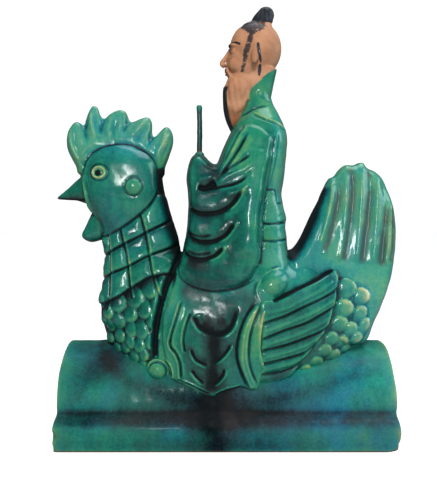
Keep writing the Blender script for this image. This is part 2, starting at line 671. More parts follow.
hen_body = soft_form("hen_body", [
    (-107, 150), (-109, 132), (-112, 112), (-111, 98), (-108, 86), (-102, 72), (-80, 52), (-40, 40), (0, 36),
    (40, 40), (80, 50), (108, 62), (120, 78), (128, 93), (135, 106), (138, 122), (120, 140), (92, 152),
    (62, 156), (55, 152), (40, 162), (0, 168), (-30, 162), (-41, 157), (-60, 172), (-90, 176)], flank, 27)
hen_neck = soft_form("hen_neck", [
    (-121, 222), (-123, 210), (-120, 198), (-114, 188), (-109, 178), (-108, 164), (-107, 150), (-109, 132),
    (-111, 112), (-108, 95), (-80, 84), (-48, 100), (-40, 130), (-41, 160), (-45, 176), (-51, 195), (-55, 212),
    (-57, 226), (-62, 240), (-73, 249), (-92, 254), (-108, 250), (-118, 240)],
    lambda x, z: np.interp(z, [95, 130, 160, 190, 215, 235, 252], [33, 27, 20.5, 17.5, 17.5, 16, 11]), 19)
comb = soft_form("comb", [
    (-127, 224), (-132, 232), (-136, 239), (-139.5, 248), (-140, 257), (-138, 265), (-132, 271.5), (-127, 269.5),
    (-125, 267.5), (-123.5, 272), (-121, 279), (-117, 285.5), (-113, 284), (-110.5, 277), (-107, 274),
    (-103, 277.5), (-98, 280.5), (-92, 282), (-88, 280), (-86, 275), (-84, 271.5), (-80, 272), (-74, 274.5),
    (-68, 275.5), (-65, 270), (-65, 263), (-64, 257.5), (-60, 261), (-55, 266), (-51, 267), (-47, 261),
    (-47, 252), (-50, 242), (-54, 232), (-58, 222), (-90, 215)],
    lambda x, z: np.interp(z, [225, 250, 268, 285], [9.5, 9, 7, 4.2]), 7, 1.4, 0.0011)
beak = soft_form("beak", [
    (-122, 228), (-129, 223), (-137, 216), (-144, 210), (-150.5, 204), (-141, 203), (-132, 202.5), (-124, 200),
    (-114, 198), (-112, 220)], lambda x, z: np.interp(x, [-150, -130, -115], [2.8, 8, 13]), 9, 1.0, 0.0011)
wattle = soft_form("wattle", [
    (-116, 196), (-121, 188), (-125, 180), (-128.5, 172), (-126, 167.5), (-120, 165.5), (-113, 167), (-107, 170),
    (-105, 182), (-108, 194)], 9, 8, 1.5, 0.0011)
tail = soft_form("tail", [
    (50, 152), (60, 160), (66, 169), (71, 180), (76, 191), (81, 201), (86, 213), (91, 222), (95, 223.5),
    (99, 229), (104, 233.5), (108, 234), (112, 233.5), (117, 236), (121, 235.5), (124, 231), (131, 228), (138, 221),
    (143, 210), (148, 195), (149.8, 178), (149.5, 162), (147, 143), (143, 128), (137, 112), (130, 96), (120, 78),
    (90, 80), (60, 110)],
    lambda x, z: np.interp(z, [80, 120, 150, 180, 210, 236], [34, 30, 23, 19, 15.5, 12]), 10, 1.8)
skin_grain = 0.00078
hen = lute("glazed_hen", [hen_body, hen_neck, comb, beak, wattle, tail], skin_grain, 6)



def shifted(row, dx, dz):
    return [(x + dx, z + dz) for x, z in row]


cut = Carving(hen)
# Comb: five puffed lobes with broad furrows that fade out above the face plate, a soft crease down each
for row in ([(-125.5, 274), (-123.4, 269), (-122.7, 260), (-120, 250)],
            [(-107, 280), (-107.5, 273), (-109, 265), (-110, 258)],
            [(-84, 278), (-85, 272), (-88, 265), (-91, 259)], [(-64, 264), (-65, 259), (-67, 253), (-69, 247)]):
    cut.groove(row, 2.4, 2.3, 0.03, 0.35)
for row in ([(-135, 267), (-135.5, 256), (-131, 244), (-126, 234)],
            [(-117.5, 282), (-117.5, 272), (-115.5, 263), (-112, 256)],
            [(-98, 277), (-101, 270), (-102, 262), (-99, 256)], [(-70.5, 273), (-75, 266), (-80, 261), (-84, 257)],
            [(-52, 263), (-54, 254), (-58, 246), (-61, 238)]):
    cut.ridge(row, 2.2, 1.3, 0.25)
    cut.groove(shifted(row, 3.4, -5), 1.6, 0.8, 0.0, 0.3)
cut.ridge([(-129, 236), (-124, 245), (-115, 252), (-100, 256), (-84, 255), (-70, 249), (-60, 240)], 2.8, 0.7, 0.1)
cut.area([(-142, 245), (-140, 275), (-118, 290), (-80, 285), (-45, 270), (-48, 240), (-60, 228), (-62, 242),
          (-80, 251), (-102, 252), (-118, 243), (-126, 226)], -0.12, 8, 0.15)
# Face plate: a smooth shield with a sunk line about it, a ringed eye with a black pupil, and an ear button
face_ring = [(-125, 223), (-123, 232), (-119, 240), (-112, 246), (-101, 250), (-90, 251), (-79, 249), (-69, 243),
             (-62, 234), (-60, 222), (-61, 208), (-66, 199), (-74, 191), (-84, 183), (-95, 176), (-105, 172),
             (-108, 180), (-113, 188), (-119, 197), (-123, 208)]
cut.patch(face_ring, 1.4, 2.2, 3.6, 32)
cut.groove(face_ring + face_ring[:1], 0.65, 1.2, 0.22, 0)
cut.area(face_ring, 0.07, 5)
cut.tint([(-98, 236), (-86, 226), (-80, 205)], 10, -0.05)
cut.tint([(-112, 200), (-104, 186), (-92, 180)], 8, 0.06)
cut.ridge([(-126.5, 224), (-122, 208), (-115, 191), (-107.5, 177), (-104.5, 161)], 1.5, 1.5, 0.15)
cut.tint([(-125, 222), (-120, 206), (-113, 190), (-106, 177), (-103, 162)], 2.0, -0.24, 0, 0.1, True)
cut.groove([(-122, 222), (-118, 207), (-111, 191), (-104, 178)], 1.2, 0.6, 0.06, 0.2)
at, r = cut.around(-107.6, 226, 10)                             # the eye
cut.height[at] += 1.4 * bell((r - 4.6) / 1.1) - 0.6 * bell((r - 6.7) / 0.9)
cut.height[at] += 0.7 * bell(r / 2.2) - 0.5 * bell((r - 3.0) / 0.7)
cut.pool[at] += -0.42 * bell((r - 4.1) / 1.7) + 0.22 * bell((r - 6.7) / 0.9)
at, r = cut.around(-108.3, 225.5, 10)                           # its pupil
cut.pool[at] += 1.2 * ease((2.7 - r) / 0.9)
at, r = cut.around(-79.3, 214, 12)                              # the ear button
cut.height[at] += 2.8 * np.sqrt(np.clip(1 - (r / 7.0) ** 2, 0, 1)) - 0.4 * bell((r - 7.6) / 0.9)
cut.pool[at] += -0.08 * bell(r / 5.0) + 0.10 * bell((r - 7.4) / 0.8) - 0.10 * bell((r - 5.8) / 0.9)
cut.groove([(-150, 203.6), (-140, 203.6), (-132, 203.2), (-122, 203.5)], 0.8, 0.9, 0.25, 0.1)
cut.groove([(-133, 202), (-127, 199), (-120, 197)], 0.9, 0.8, 0.25, 0.1)
cut.area([(-152, 206), (-138, 218), (-128, 225), (-120, 205), (-118, 190), (-130, 186), (-130, 200)], 0.14, 5)
cut.tint([(-152, 203), (-140, 201.5), (-130, 200), (-120, 194)], 3.2, 0.42, 0, 0.05, True)
cut.area([(-117, 195), (-125, 180), (-130, 170), (-120, 163), (-106, 168), (-104, 182)], 0.12, 4)
cut.tint([(-130, 170), (-122, 164), (-112, 164), (-105, 168)], 4.0, 0.40, 0, 0.05, True)
cut.tint([(-106, 176), (-107, 166), (-108, 155)], 2.6, 0.35, 0, 0.1, True)
# Neck: puffed lozenges between long lines and rising cross lines
long_lines = ([(-101.5, 174), (-100, 158), (-99, 139), (-99.5, 117), (-101, 108)],
              [(-91, 178), (-88, 165), (-85, 155), (-83.5, 146), (-81, 127), (-79, 119)],
              [(-74.5, 192), (-70, 176), (-66, 156), (-62, 139), (-57, 124), (-53, 114)])
cross_lines = ([(-109, 152), (-100, 158), (-88, 165), (-74, 172), (-65, 177), (-50, 184)],
               [(-110, 132), (-98, 140), (-84, 146), (-67, 155), (-53, 160), (-41, 164)],
               [(-112, 110), (-98, 117), (-82, 127), (-66, 137), (-53, 140), (-40, 142)])
for row in long_lines:
    cut.groove(row, 0.70, 1.3, 0.24, 0.05, 0.7, 1, 0.26)
    cut.tint(shifted(row, 1.9, 0), 0.9, -0.14)
for row in cross_lines:
    cut.groove(row, 0.75, 1.7, 0.30, 0.03)
    cut.tint(shifted(row, 0.5, -3.4), 2.2, 0.16, 0, 0.05)
    cut.tint(shifted(row, 0, 2.2), 1.4, -0.09, 0, 0.05)
cut.area([(-112, 170), (-84, 184), (-62, 215), (-50, 205), (-38, 140), (-66, 134), (-98, 114), (-114, 108)], 0.05, 8)
cut.cushions(long_lines + cross_lines, [
    (-107, 172), (-96, 176), (-84, 182.5), (-73, 191), (-65, 199), (-60, 207), (-52, 205), (-47, 185), (-41, 163),
    (-38, 140), (-53, 139.5), (-66, 136.5), (-82, 126.5), (-98, 116.5), (-112, 110), (-110, 132), (-109, 152)],
    2.5, 6.5)
# The nape turns away into the gap before the rider, where the glaze ran together nearly black
cut.tint([(-58, 232), (-55, 216), (-52, 201), (-47.5, 183), (-43.5, 166), (-40.5, 148), (-39, 126)], 5.2, 0.75, 0,
         0.05, True)
# Breast: overlapping scales in staggered rows, their round tips down, dark glaze between them
breast = flow([(-112, 111), (-98, 116), (-82, 126), (-66, 136), (-50, 140), (-56, 110), (-59, 70), (-84, 58),
               (-104, 74), (-112, 95)], closed=True)
at = cut.near(breast, 0)
cut.rims[at] = -0.30 * within(cut.x[at], cut.z[at], breast)
cut.area([(-112, 111), (-82, 126), (-50, 140), (-59, 70), (-84, 56), (-104, 72), (-113, 95)], 0.12, 6)
for x, z, a, b in ((-92, 117, 6.6, 9), (-77.5, 121, 8.2, 9.5), (-64, 129.5, 7.5, 9.5), (-54, 133.5, 5, 8),
                   (-101, 110, 4.8, 8.5), (-82, 107.5, 6.6, 7.8), (-68.5, 111.5, 6.8, 8.5), (-58.5, 116.5, 5.8, 8),
                   (-91.5, 101.5, 5.8, 8), (-62.5, 103, 5.4, 7.6), (-80.5, 94.5, 5.4, 7.6), (-71.5, 94.5, 6, 8.6),
                   (-99.5, 96.5, 4.6, 6.8), (-91, 87.5, 4.8, 6.4), (-81.5, 83.5, 5, 6.6), (-73.5, 81.5, 5.4, 7),
                   (-64, 85.5, 4.8, 8), (-86, 78, 4.2, 5.6), (-78.5, 70.5, 4.8, 6), (-69.5, 74, 4.2, 6.5),
                   (-101, 84, 3.8, 5.4), (-105, 100, 3.4, 6), (-94, 76, 4, 5), (-106, 117, 3.4, 7), (-60, 92, 3.4, 7),
                   (-71, 66, 3.6, 5), (-86, 68, 3.6, 4.6)):
    cut.scale(x, z, a * 1.06, b * 1.06, 3.2, -80, -25, 0.24)
skirt_side = [(-38, 158), (-44, 146), (-51, 130), (-57, 108), (-60, 88), (-60, 68)]
at, d, t = cut.trace(skirt_side, 8)
clear = ease((np.abs(d) - 2.2) / 1.6)
cut.scales[at] *= clear
cut.rims[at] *= clear
cut.groove(skirt_side, 2.2, 4.0, 0.1, 0.05)
cut.tint(skirt_side, 2.0, 0.62, 0, 0.04, True)
# Rump: scales that point up and back
rump = flow([(95, 137), (107, 134), (121, 129), (121, 112), (120, 92), (110, 76), (92, 58), (70, 46), (52, 46),
             (60, 64), (80, 84), (90, 104), (94, 120)], closed=True)
at = cut.near(rump, 0)
cut.rims[at] = np.where(within(cut.x[at], cut.z[at], rump), -0.20, cut.rims[at])
cut.stain[at] += 0.35 * within(cut.x[at], cut.z[at], rump)
for x, z, a, b, tilt in ((102, 127.5, 7, 7.8, 62), (114.5, 121, 6, 7, 62), (99.5, 111, 6.8, 7.6, 55),
                         (113, 106.5, 4.8, 7.2, 62), (95.5, 98, 5.8, 7, 52), (105, 93.5, 4.8, 6.4, 52),
                         (116, 96, 3.8, 7.5, 60), (88.5, 85.5, 5, 6.2, 42), (98, 82.5, 4.6, 5.8, 42),
                         (109.5, 86, 3.8, 6.4, 50), (82.5, 76, 4.8, 6.4, 30), (101.5, 76.5, 3.4, 5.4, 38),
                         (91, 71, 4.2, 6.2, 30), (75.5, 66.5, 4.4, 5.8, 22), (85, 61, 4.4, 6, 26),
                         (66.5, 60, 4.2, 5.4, 16), (73, 53.5, 4.2, 5, 16), (58, 52, 4, 5.6, 12),
                         (96, 66, 3, 4.4, 30)):
    cut.scale(x, z, a * 1.14, b * 1.12, 2.8, tilt, 40, 0.14)
# Wing: a leaf of long feathers, each lapping over the one below, with a rib down each
wing_ring = [(28, 118), (44, 120.5), (60.5, 128), (77, 134.6), (88, 141), (93, 142.5), (95, 134), (93, 127),
             (92.5, 120), (90, 113), (88, 107), (86, 101), (83, 94), (77, 87), (72, 80), (65, 73), (59, 66), (54, 59),
             (49, 53), (36, 48), (24, 46), (27, 62), (28, 80), (29, 100)]
cut.patch(wing_ring, 3.0, 2.0)
feather_lines = ([(26, 99), (34, 102), (47, 106), (63, 113), (80, 120), (93, 127)],
                 [(26, 87), (32, 89), (48, 95), (65, 100), (81, 108), (89.5, 112.5)],
                 [(26, 77.5), (31, 79), (49, 83), (65, 88), (79, 93), (85, 97)],
                 [(25, 67), (30, 68), (49, 72), (64, 76), (74, 83)],
                 [(25, 59.5), (45, 62), (58, 67), (63, 70)])
for row in feather_lines:
    cut.groove(row, 0.75, 1.5, 0.14, 0.03)
    cut.tint(shifted(row, 0, -2.4), 2.2, 0.12, 0.2, 0.04)
cut.cushions(feather_lines, wing_ring, 1.9, 4.2)
cut.area(wing_ring, 0.07, 5)
for row in ([(30, 109), (48, 112.5), (63, 119.5), (79, 127), (91, 134.5)],
            [(30, 93.5), (48, 100), (65, 106), (80, 113), (90, 119)],
            [(30, 83), (49, 88.5), (65, 94), (80, 101), (86, 105)], [(29, 73), (49, 77.5), (64, 82), (77, 89)],
            [(28, 63.5), (46, 67), (59, 71), (68, 77)], [(28, 54), (44, 57), (55, 62)]):
    cut.ridge(row, 1.2, 0.5, 0.1, 0.06)
    cut.groove(shifted(row, 0, -2.2), 0.6, 0.3, 0.05, 0.1)
for row in ([(94.5, 140), (94.5, 133), (92.5, 128)], [(92.5, 125), (91.5, 119), (89, 113.5)],
            [(87.5, 110), (86, 103), (83, 97.5)], [(81.5, 93), (77.5, 88), (73.5, 83.5)],
            [(71.5, 80), (66, 74.5), (62, 71)], [(60, 67), (56, 61), (52, 55)]):
    cut.ridge(row, 1.2, 0.7, 0.2, 0.24)
cut.fold([(38, 118), (45, 121.5), (61, 128.5), (77, 135.8), (92, 143.5)], 2.4, 0.0, 7, 0.08)
cut.tint([(60, 148), (85, 136), (112, 136)], 8, 0.10)
# Tail: broad plumes with wide valleys, brownish where the glaze is thin, that stop short of the root
for row in ([(94, 222), (96.5, 212), (95.5, 198), (92, 184), (88, 170), (83, 156)],
            [(107.5, 233), (109, 216), (108, 198), (106, 181), (103, 164), (100.5, 149)],
            [(122.5, 231), (124, 214), (122.5, 195), (120.5, 178), (118, 162), (116, 147)],
            [(136, 222), (138, 206), (138, 190), (136, 174), (134, 159), (132.5, 145)],
            [(146, 196), (146.5, 180), (145.5, 164), (142.5, 148)]):
    cut.groove(row, 3.2, 1.6, 0.0, 0.12)
    cut.tint(row, 3.0, -0.08, 2.0, 0.10)
    cut.tint(shifted(row, -2.6, 0), 1.2, 0.08, 0, 0.10)
for row in ([(92, 220), (91, 200), (88, 175), (84, 155)], [(104, 228), (103.6, 203), (101.5, 173), (97, 150)],
            [(117, 229), (116.6, 203), (114.5, 173), (112, 149)], [(130.5, 222), (130, 195), (128, 168), (125.5, 147)],
            [(142, 203), (140.5, 181), (138.5, 160), (136.5, 147)]):
    cut.ridge(row, 3.0, 1.2, 0.15)
    cut.ridge(row, 1.2, 0.4, 0.1, -0.10)
cut.ridge([(93, 220), (91.5, 208), (88, 192), (84.5, 178), (80, 166)], 1.3, 1.1, 0.1, 0.08)
cut.tint([(85, 216), (78, 198), (70, 178), (61, 161), (53, 152)], 4.6, 0.75, 0, 0.05, True)
cut.area([(92, 222), (108, 238), (130, 232), (148, 200), (152, 165), (146, 130), (130, 95), (110, 130), (84, 150)],
         -0.11, 12)
cut.area([(95, 137), (121, 129), (120, 92), (92, 58), (52, 46), (80, 84), (94, 120)], -0.08, 8)
# A furrow parts the two wattles in front
cut.press(hen, 3.0 * bell(cut.y / 2.2) * ease((-100 - cut.x) / 6) * ease((cut.z - 160) / 4)
          * ease((190 - cut.z) / 14))
thin_out(hen, 196000)
dress(hen, glazed("hen_glaze", depth=0.50, mottle=0.70))
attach(hen, "root")
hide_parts("ridge_figure")

# Robe
# The rider's long-sleeved robe, sash and shoe: clay pressed in the same two moulds as the hen. The sleeves hang in
# deep crescent folds, the skirt falls over the hen's side and two strips of the sash hang before the wing.

lap = soft_form("lap", [
    (-57, 66), (-57, 86), (-55, 108), (-46, 135), (-40, 150), (-32, 160), (0, 176), (40, 172), (54, 156), (56, 144),
    (52, 128), (44, 112), (36, 96), (33, 60), (28, 46), (0, 43), (-20, 43), (-44, 52)],
    lambda x, z: flank(x, z) + 1.5 - 4 * ease((z - 115) / 25), 12)
skirt = soft_form("skirt", [
    (-52, 66), (-56, 84), (-55, 108), (-46, 135), (-39, 150), (0, 165), (36, 130), (42, 122), (37, 112), (31, 96),
    (30, 80), (33, 64), (28, 45), (20, 43.5), (10, 46), (-1, 42.5), (-11, 37.5), (-22, 41.5), (-34, 46.5), (-46, 52)],
    lambda x, z: flank(x, z) + 4.4 - 4 * ease((z - 98) / 44), 5, 22)
torso = soft_form("torso", [
    (19, 305), (19.5, 298), (17, 288), (8, 270), (-2, 250), (-14, 215), (-18, 170), (-20, 130), (20, 118), (46, 121),
    (54, 136), (55.5, 150), (54, 168), (52.5, 180), (53.5, 187), (51, 196), (49.5, 204), (49, 210), (51, 222),
    (53, 243), (53.5, 259), (50, 269), (45, 280), (41, 287), (39, 296), (41, 305), (36, 309), (27, 304)],
    lambda x, z: np.interp(z, [120, 160, 205, 240, 258, 270, 282, 292, 305],
                           [36, 27, 24.5, 28, 28, 24, 15.5, 13, 13.5]), 15)
sleeve = soft_form("sleeve", [
    (30, 268), (41, 257), (40, 244), (37, 232), (34, 220), (33, 208), (30, 197), (29, 184), (29, 168), (30, 158),
    (27, 149), (21, 139), (12, 132), (0, 128.5), (-15, 128.5), (-29, 132), (-37, 138), (-39.5, 147), (-38, 158),
    (-35.5, 172), (-34, 186), (-33.5, 198), (-34, 212), (-35, 222), (-33.5, 232), (-30, 240.5), (-25, 243),
    (-19, 241.5), (-14, 236.5), (-9, 234), (-6, 238), (-3, 248), (4, 260), (16, 270)],
    lambda x, z: np.interp(z, [128, 150, 180, 210, 235, 255, 268], [45.5, 45, 43.2, 39.8, 36, 31.5, 26])
    * np.interp(x, [-40, -25, 0, 20, 40], [0.73, 0.87, 0.95, 1.0, 0.98]), 7,
    lambda x, z: np.interp(z, [126, 150, 172], [37, 30, 3.5]))
rod_x = -23.5                   # where the rod stands in the hands, in millimetres
socket_radius = 0.0027
rod_ring = ball("rod_ring", (rod_x, 0, 243), (4.6, 4.6, 3.0))
shoes = [ball("shoe", (-56.5, 35 * side, 61), (12, 10.5, 11.5), 10) for side in (-1, 1)]
seats = [ball("seat", (38.5, 27.5 * side, 130.5), (17, 13.5, 12.5), -42) for side in (-1, 1)]
robe = lute("glazed_robe", [lap, skirt, torso, sleeve, rod_ring, *shoes, *seats], skin_grain, 8)

cut = Carving(robe)
# Upper arm: folds that run together at the crook, and the dark mouth of the sleeve beside the hand
for row, width, depth in (
        ([(18.5, 260.4), (13.5, 250.6), (8.6, 242.4), (4.5, 236), (-0.5, 229), (-6.3, 221)], 0.85, 1.9),
        ([(16, 267), (11, 260), (7.8, 254), (2, 242), (-2, 233)], 0.7, 1.0),
        ([(19.5, 240), (13.6, 236), (7, 231.7), (1.2, 228.5), (-3.8, 224)], 0.8, 1.6),
        ([(17, 223), (12, 218.6), (5.3, 215.7), (-2, 214), (-10, 212.6), (-17, 212)], 0.9, 2.2)):
    cut.groove(row, width, depth, 0.26, 0.18)
    cut.tint(shifted(row[:-1], 1.6, -1.9), 1.5, -0.16)
for row in ([(22, 257), (17, 247), (11, 239), (4, 231), (-2, 224)],
            [(13, 257), (8, 248), (3, 239), (-2, 230), (-7, 221)],
            [(22, 235), (15, 229), (7, 225), (-1, 221), (-8, 217)], [(20, 218), (14, 212), (7, 209), (-2, 207.5)]):
    cut.ridge(row, 2.3, 1.3, 0.2, 0.05)
cut.groove([(-24, 214), (-19, 212.5), (-14, 214.5), (-9, 217.5)], 2.2, 4.0, 0.50, 0.12)
cut.ridge([(-11, 222.5), (-17, 221), (-24, 220)], 1.8, 1.2, 0.2)
cut.tint([(-30, 236), (-31, 225), (-30, 214), (-30, 202)], 4.0, -0.10)
cut.tint([(-16, 234), (-11, 226), (-8, 218)], 4.5, 0.22)
cut.area([(-40, 250), (-22, 246), (-5, 235), (10, 225), (12, 190), (6, 140), (-30, 124), (-44, 150), (-36, 200)],
         0.18, 16)
cut.area([(0, 206), (26, 214), (32, 160), (22, 136), (0, 130), (-8, 150)], 0.03, 12)
# Sleeve: three deep crescents, each under a full roll, with a pale ridge below the raised end
for row, depth, roll, reach in (
        ([(12, 211.5), (8.6, 204.5), (4.5, 199.5), (-0.5, 195.8), (-7.1, 192.9), (-15.4, 191.7), (-22.9, 192.1),
          (-29, 194.5), (-36, 198)], 3.6, 0.9, 13),
        ([(6.2, 184), (2, 177.2), (-3, 172.2), (-10.4, 168.9), (-18.8, 168), (-25.4, 169.3), (-31, 172.4),
          (-37, 178)], 3.6, 0.78, 11),
        ([(-3.4, 164), (-7.1, 158.8), (-12.1, 155.5), (-19.6, 153.4), (-27.1, 153.8), (-32.5, 156.5),
          (-38, 162)], 3.2, 0.6, 9)):
    cut.fold(row, depth, roll, reach, 0.10)
    raised_end = [(row[0][0] + 0.8, row[0][1] + 3.0), *row[:4]]
    cut.ridge(shifted(raised_end, 2.0, -1.2), 1.1, 0.8, 0.2, 0.40)
    cut.tint(shifted(row[:5], 4.2, -3.4), 3.0, -0.14)
cut.groove([(-13, 174), (-20, 172.8), (-27, 173.8), (-33, 177)], 0.8, 1.4, 0.16, 0.12)
cut.groove([(-13, 159.8), (-20, 158), (-27, 158.4), (-33, 161)], 0.8, 1.3, 0.16, 0.12)
cut.tint([(-34, 152), (-24, 149.5), (-13, 147.5)], 5.0, 0.20, 0.2)
cut.tint([(-38, 140), (-34, 170), (-33, 200), (-34, 225)], 3.5, -0.10, 0, 0.1)
cut.ridge([(30, 246), (26, 231), (22, 214), (19, 197), (18, 175), (17, 155)], 8.5, 2.0, 0.1)
cut.groove([(40.5, 257), (38.5, 240), (36.5, 227), (33.5, 208), (31, 185), (30.5, 165), (29, 150), (22.5, 138),
            (12, 131), (-2, 127.8), (-16, 127.8), (-30, 131.5), (-39, 138.5), (-41, 148)], 0.6, 1.1, 0.17, 0.02)
cut.tint([(24, 150), (14, 139), (0, 135), (-15, 135), (-30, 139)], 4.5, 0.10, 0, 0.1)
cut.tint([(18, 130.5), (2, 124.5), (-15, 124.5), (-34, 129)], 1.6, -0.05, 0.75)
# Collar, cape and the seam of the back panel
cut.groove([(12, 275), (17, 276.8), (25, 281.7), (36, 283)], 0.8, 1.3, 0.22, 0.15)
cut.groove([(22, 276), (32, 270.5), (41.4, 267), (53, 261)], 0.8, 0.9, 0.08, 0.1, 0.9, 1, 0.22)
cut.groove([(22, 299), (30, 291), (38, 288)], 0.9, 0.5, 0.1, 0.1)
cut.groove([(43.5, 258), (43, 246), (40.5, 232), (37.5, 220), (34.5, 211.5)], 0.6, 0.7, 0.16, 0.08)
cut.groove([(33.5, 211.4), (38, 211.2), (41.7, 210.4), (43, 205), (43.6, 200.6), (47, 200), (51, 200.5)],
           0.65, 1.3, 0.28, 0.06)
cut.groove([(31, 183), (40, 182.6), (57, 184)], 0.8, 1.8, 0.30, 0.06)
cut.groove([(31, 168.3), (42, 167.8), (57, 169.5)], 0.65, 1.3, 0.22, 0.06)
cut.patch([(32, 181), (33, 170), (60, 171), (60, 182)], 0.9, 3)
cut.area([(42, 290), (58, 262), (54, 210), (56, 150), (34, 150), (32, 205), (42, 258), (22, 280)], -0.10, 8)
cut.ridge([(36, 205), (42, 197), (47, 190)], 4, 0.8, 0.2)
# Seat: an oval cushion of cloth behind the sleeve
cut.dome(38.5, 130.5, 16.5, 12, 42, 1.4)
cut.dome(36.5, 130.5, 12, 7, 48, 0.2, -0.16)
cut.groove([(23.1, 124), (24.2, 131), (27.5, 137), (33, 142.5), (40, 146), (47, 147)], 0.75, 0.9, 0.10, 0.15,
           0.7, -1, 0.24)
cut.tint([(28, 118), (36, 115.5), (44, 118.5), (51, 126), (55, 135)], 2.6, 0.20, 0, 0.1)
# Skirt: long folds in front, a deep hanging fold with a dark channel under it, and hooked folds beside that
cut.groove([(-37.6, 119), (-41.5, 106), (-45.7, 92), (-46.8, 82.5), (-42, 76), (-38.6, 67), (-37.8, 53)],
           0.75, 1.8, 0.24, 0.07, 1.2, -1, 0.32)
cut.ridge([(-35.4, 118), (-39.5, 104), (-43.5, 92), (-44.2, 84), (-39.6, 77), (-36, 68), (-35, 54)],
          0.9, 0.5, 0.1, 0.14)
cut.groove([(-30, 110), (-34, 98.5), (-35.8, 88), (-34.4, 77)], 0.75, 1.7, 0.24, 0.10, 1.1, -1, 0.30)
cut.ridge([(-28.5, 108), (-25.2, 106.6), (-21.5, 107)], 1.0, 0.9, 0.2, 0.1)
cut.area([(-38, 128), (0, 126), (28, 122), (18, 100), (14, 75), (20, 45), (-10, 38), (-36, 50), (-38, 80),
          (-30, 105)], 0.12, 14)
cut.area([(-36, 130), (-10, 126), (18, 128), (24, 116), (8, 104), (-10, 98), (-26, 106)], 0.10, 10, 0.35)
cut.area([(-40, 122), (-48, 100), (-50, 84), (-60, 80), (-60, 100), (-50, 130)], -0.04, 6)
cut.fold([(-27.5, 108.5), (-26, 104.5), (-22.8, 99), (-17, 95), (-10.4, 92.4), (-3.8, 93.3), (2, 97), (6, 104),
          (9, 115.5)], 3.0, 0.4, 10, 0.12)
cut.ridge([(-29, 103), (-25, 97), (-20.5, 93)], 1.0, 0.6, 0.2, 0.26)
cut.ridge([(-4, 89.6), (2.6, 92.6), (7.6, 99), (10.5, 110)], 1.1, 0.6, 0.2, 0.14)
cut.tint([(-20, 104), (-10, 99), (0, 104)], 6.5, 0.22, 0, 0.1)
cut.tint([(-20, 101), (-16, 98.3), (-10, 97.5)], 2.2, 0.25, 0, 0.1)
cut.groove([(-10.6, 93), (-11, 80), (-11.6, 67), (-12, 54), (-12.1, 43)], 4.2, 2.0, 0.20, 0.20)
cut.tint([(-10, 98), (-11.5, 70), (-12.1, 40)], 9.0, 0.20, 0, 0.1)
for row, side in (([(-29, 80.5), (-27, 73.7), (-22, 69.5), (-15, 66.6)], -1),
                  ([(3.5, 85), (-0.5, 77.8), (-5.5, 72.8), (-10.4, 69.5)], 1),
                  ([(-29, 63), (-24.5, 56.8), (-19, 52)], -1),
                  ([(-1.8, 65), (-3, 59.4), (-7.1, 54.3), (-12, 50.9)], 1)):
    cut.groove(row, 0.9, 1.7, 0.24, 0.18, 0.9, side, 0.30)
    cut.tint(shifted(row, 0.5 * side, 3.0), 2.6, 0.14)
cut.groove([(-41, 55), (-30.3, 50.6), (-22, 47), (-15, 43.6)], 0.7, 1.0, 0.24, 0.06, 0.9, 1, 0.22)
cut.groove([(-37, 50.5), (-25.3, 45.2), (-15.4, 41)], 0.7, 1.0, 0.26, 0.06, 0.7, 1, 0.18)
cut.groove([(-9, 42.5), (-0.5, 46.8), (12, 50)], 0.7, 1.1, 0.26, 0.06, 0.8, 1, 0.22)
cut.tint([(-40, 156), (-46, 142), (-52, 126), (-57, 108), (-58.5, 90), (-57, 72)], 2.4, 0.55, 0, 0.06, True)
# Shoe: a round toe in a turned-back cuff
cut.dome(-58, 60, 7.4, 7.2, 0, 1.6, -0.04)
cut.groove([(-68, 64), (-64, 69.5), (-57.5, 71.6), (-51.5, 70.0), (-47.6, 65.5), (-45.8, 60), (-46, 53)],
           0.65, 0.9, 0.20, 0.05, 0.9, 1, 0.26)
cut.groove([(-65.5, 62), (-62.5, 66.6), (-57.5, 68.2), (-52.5, 66.4), (-50, 61), (-51, 55)],
           0.65, 0.8, 0.20, 0.1, 0.6, 1, 0.24)
cut.tint([(-66, 56), (-57, 52), (-46, 51)], 3.0, 0.40, 0, 0.1, True)
# Sash: two strips between deep grooves, the second one hollow and olive with a pale rim
cut.groove([(24.5, 119), (17.6, 110), (12.7, 100), (9.4, 89), (8.2, 79), (9.5, 69), (13.6, 58), (19.5, 46)],
           0.9, 2.1, 0.26, 0.10)
cut.ridge([(26.5, 116), (20.5, 107), (15.8, 96), (13.4, 83), (13.2, 70), (16.2, 58), (21.5, 47)], 2.0, 1.4, 0.06, 0.10)
cut.groove([(29.5, 117), (24.2, 106), (20.1, 94), (18.5, 83), (18.6, 72), (21.1, 61), (26, 50)], 0.75, 1.8, 0.22, 0.10)
cut.ridge([(27.4, 117), (22, 106), (17.9, 94), (16.3, 83), (16.4, 72), (18.9, 61), (23.8, 50)], 0.8, 0.7, 0.1, 0.26)
cut.tint([(29, 112), (24.5, 98), (23, 84), (23.5, 70)], 2.8, -0.15, 0.6, 0.12)
cut.tint([(23, 112), (16, 98), (12.6, 84), (13, 68), (18, 54)], 2.4, -0.12, 0.2, 0.12)
cut.ridge([(34, 119), (30, 108.3), (27.6, 97.5), (26.8, 85.7), (27.7, 74), (30.2, 65.6), (33, 62.5)],
          1.1, 1.8, 0.06, 0.22)
cut.groove([(36.5, 117), (32.6, 108), (30.4, 97), (29.8, 85), (31, 73), (33.5, 66)], 1.0, 1.5, 0.24, 0.08)
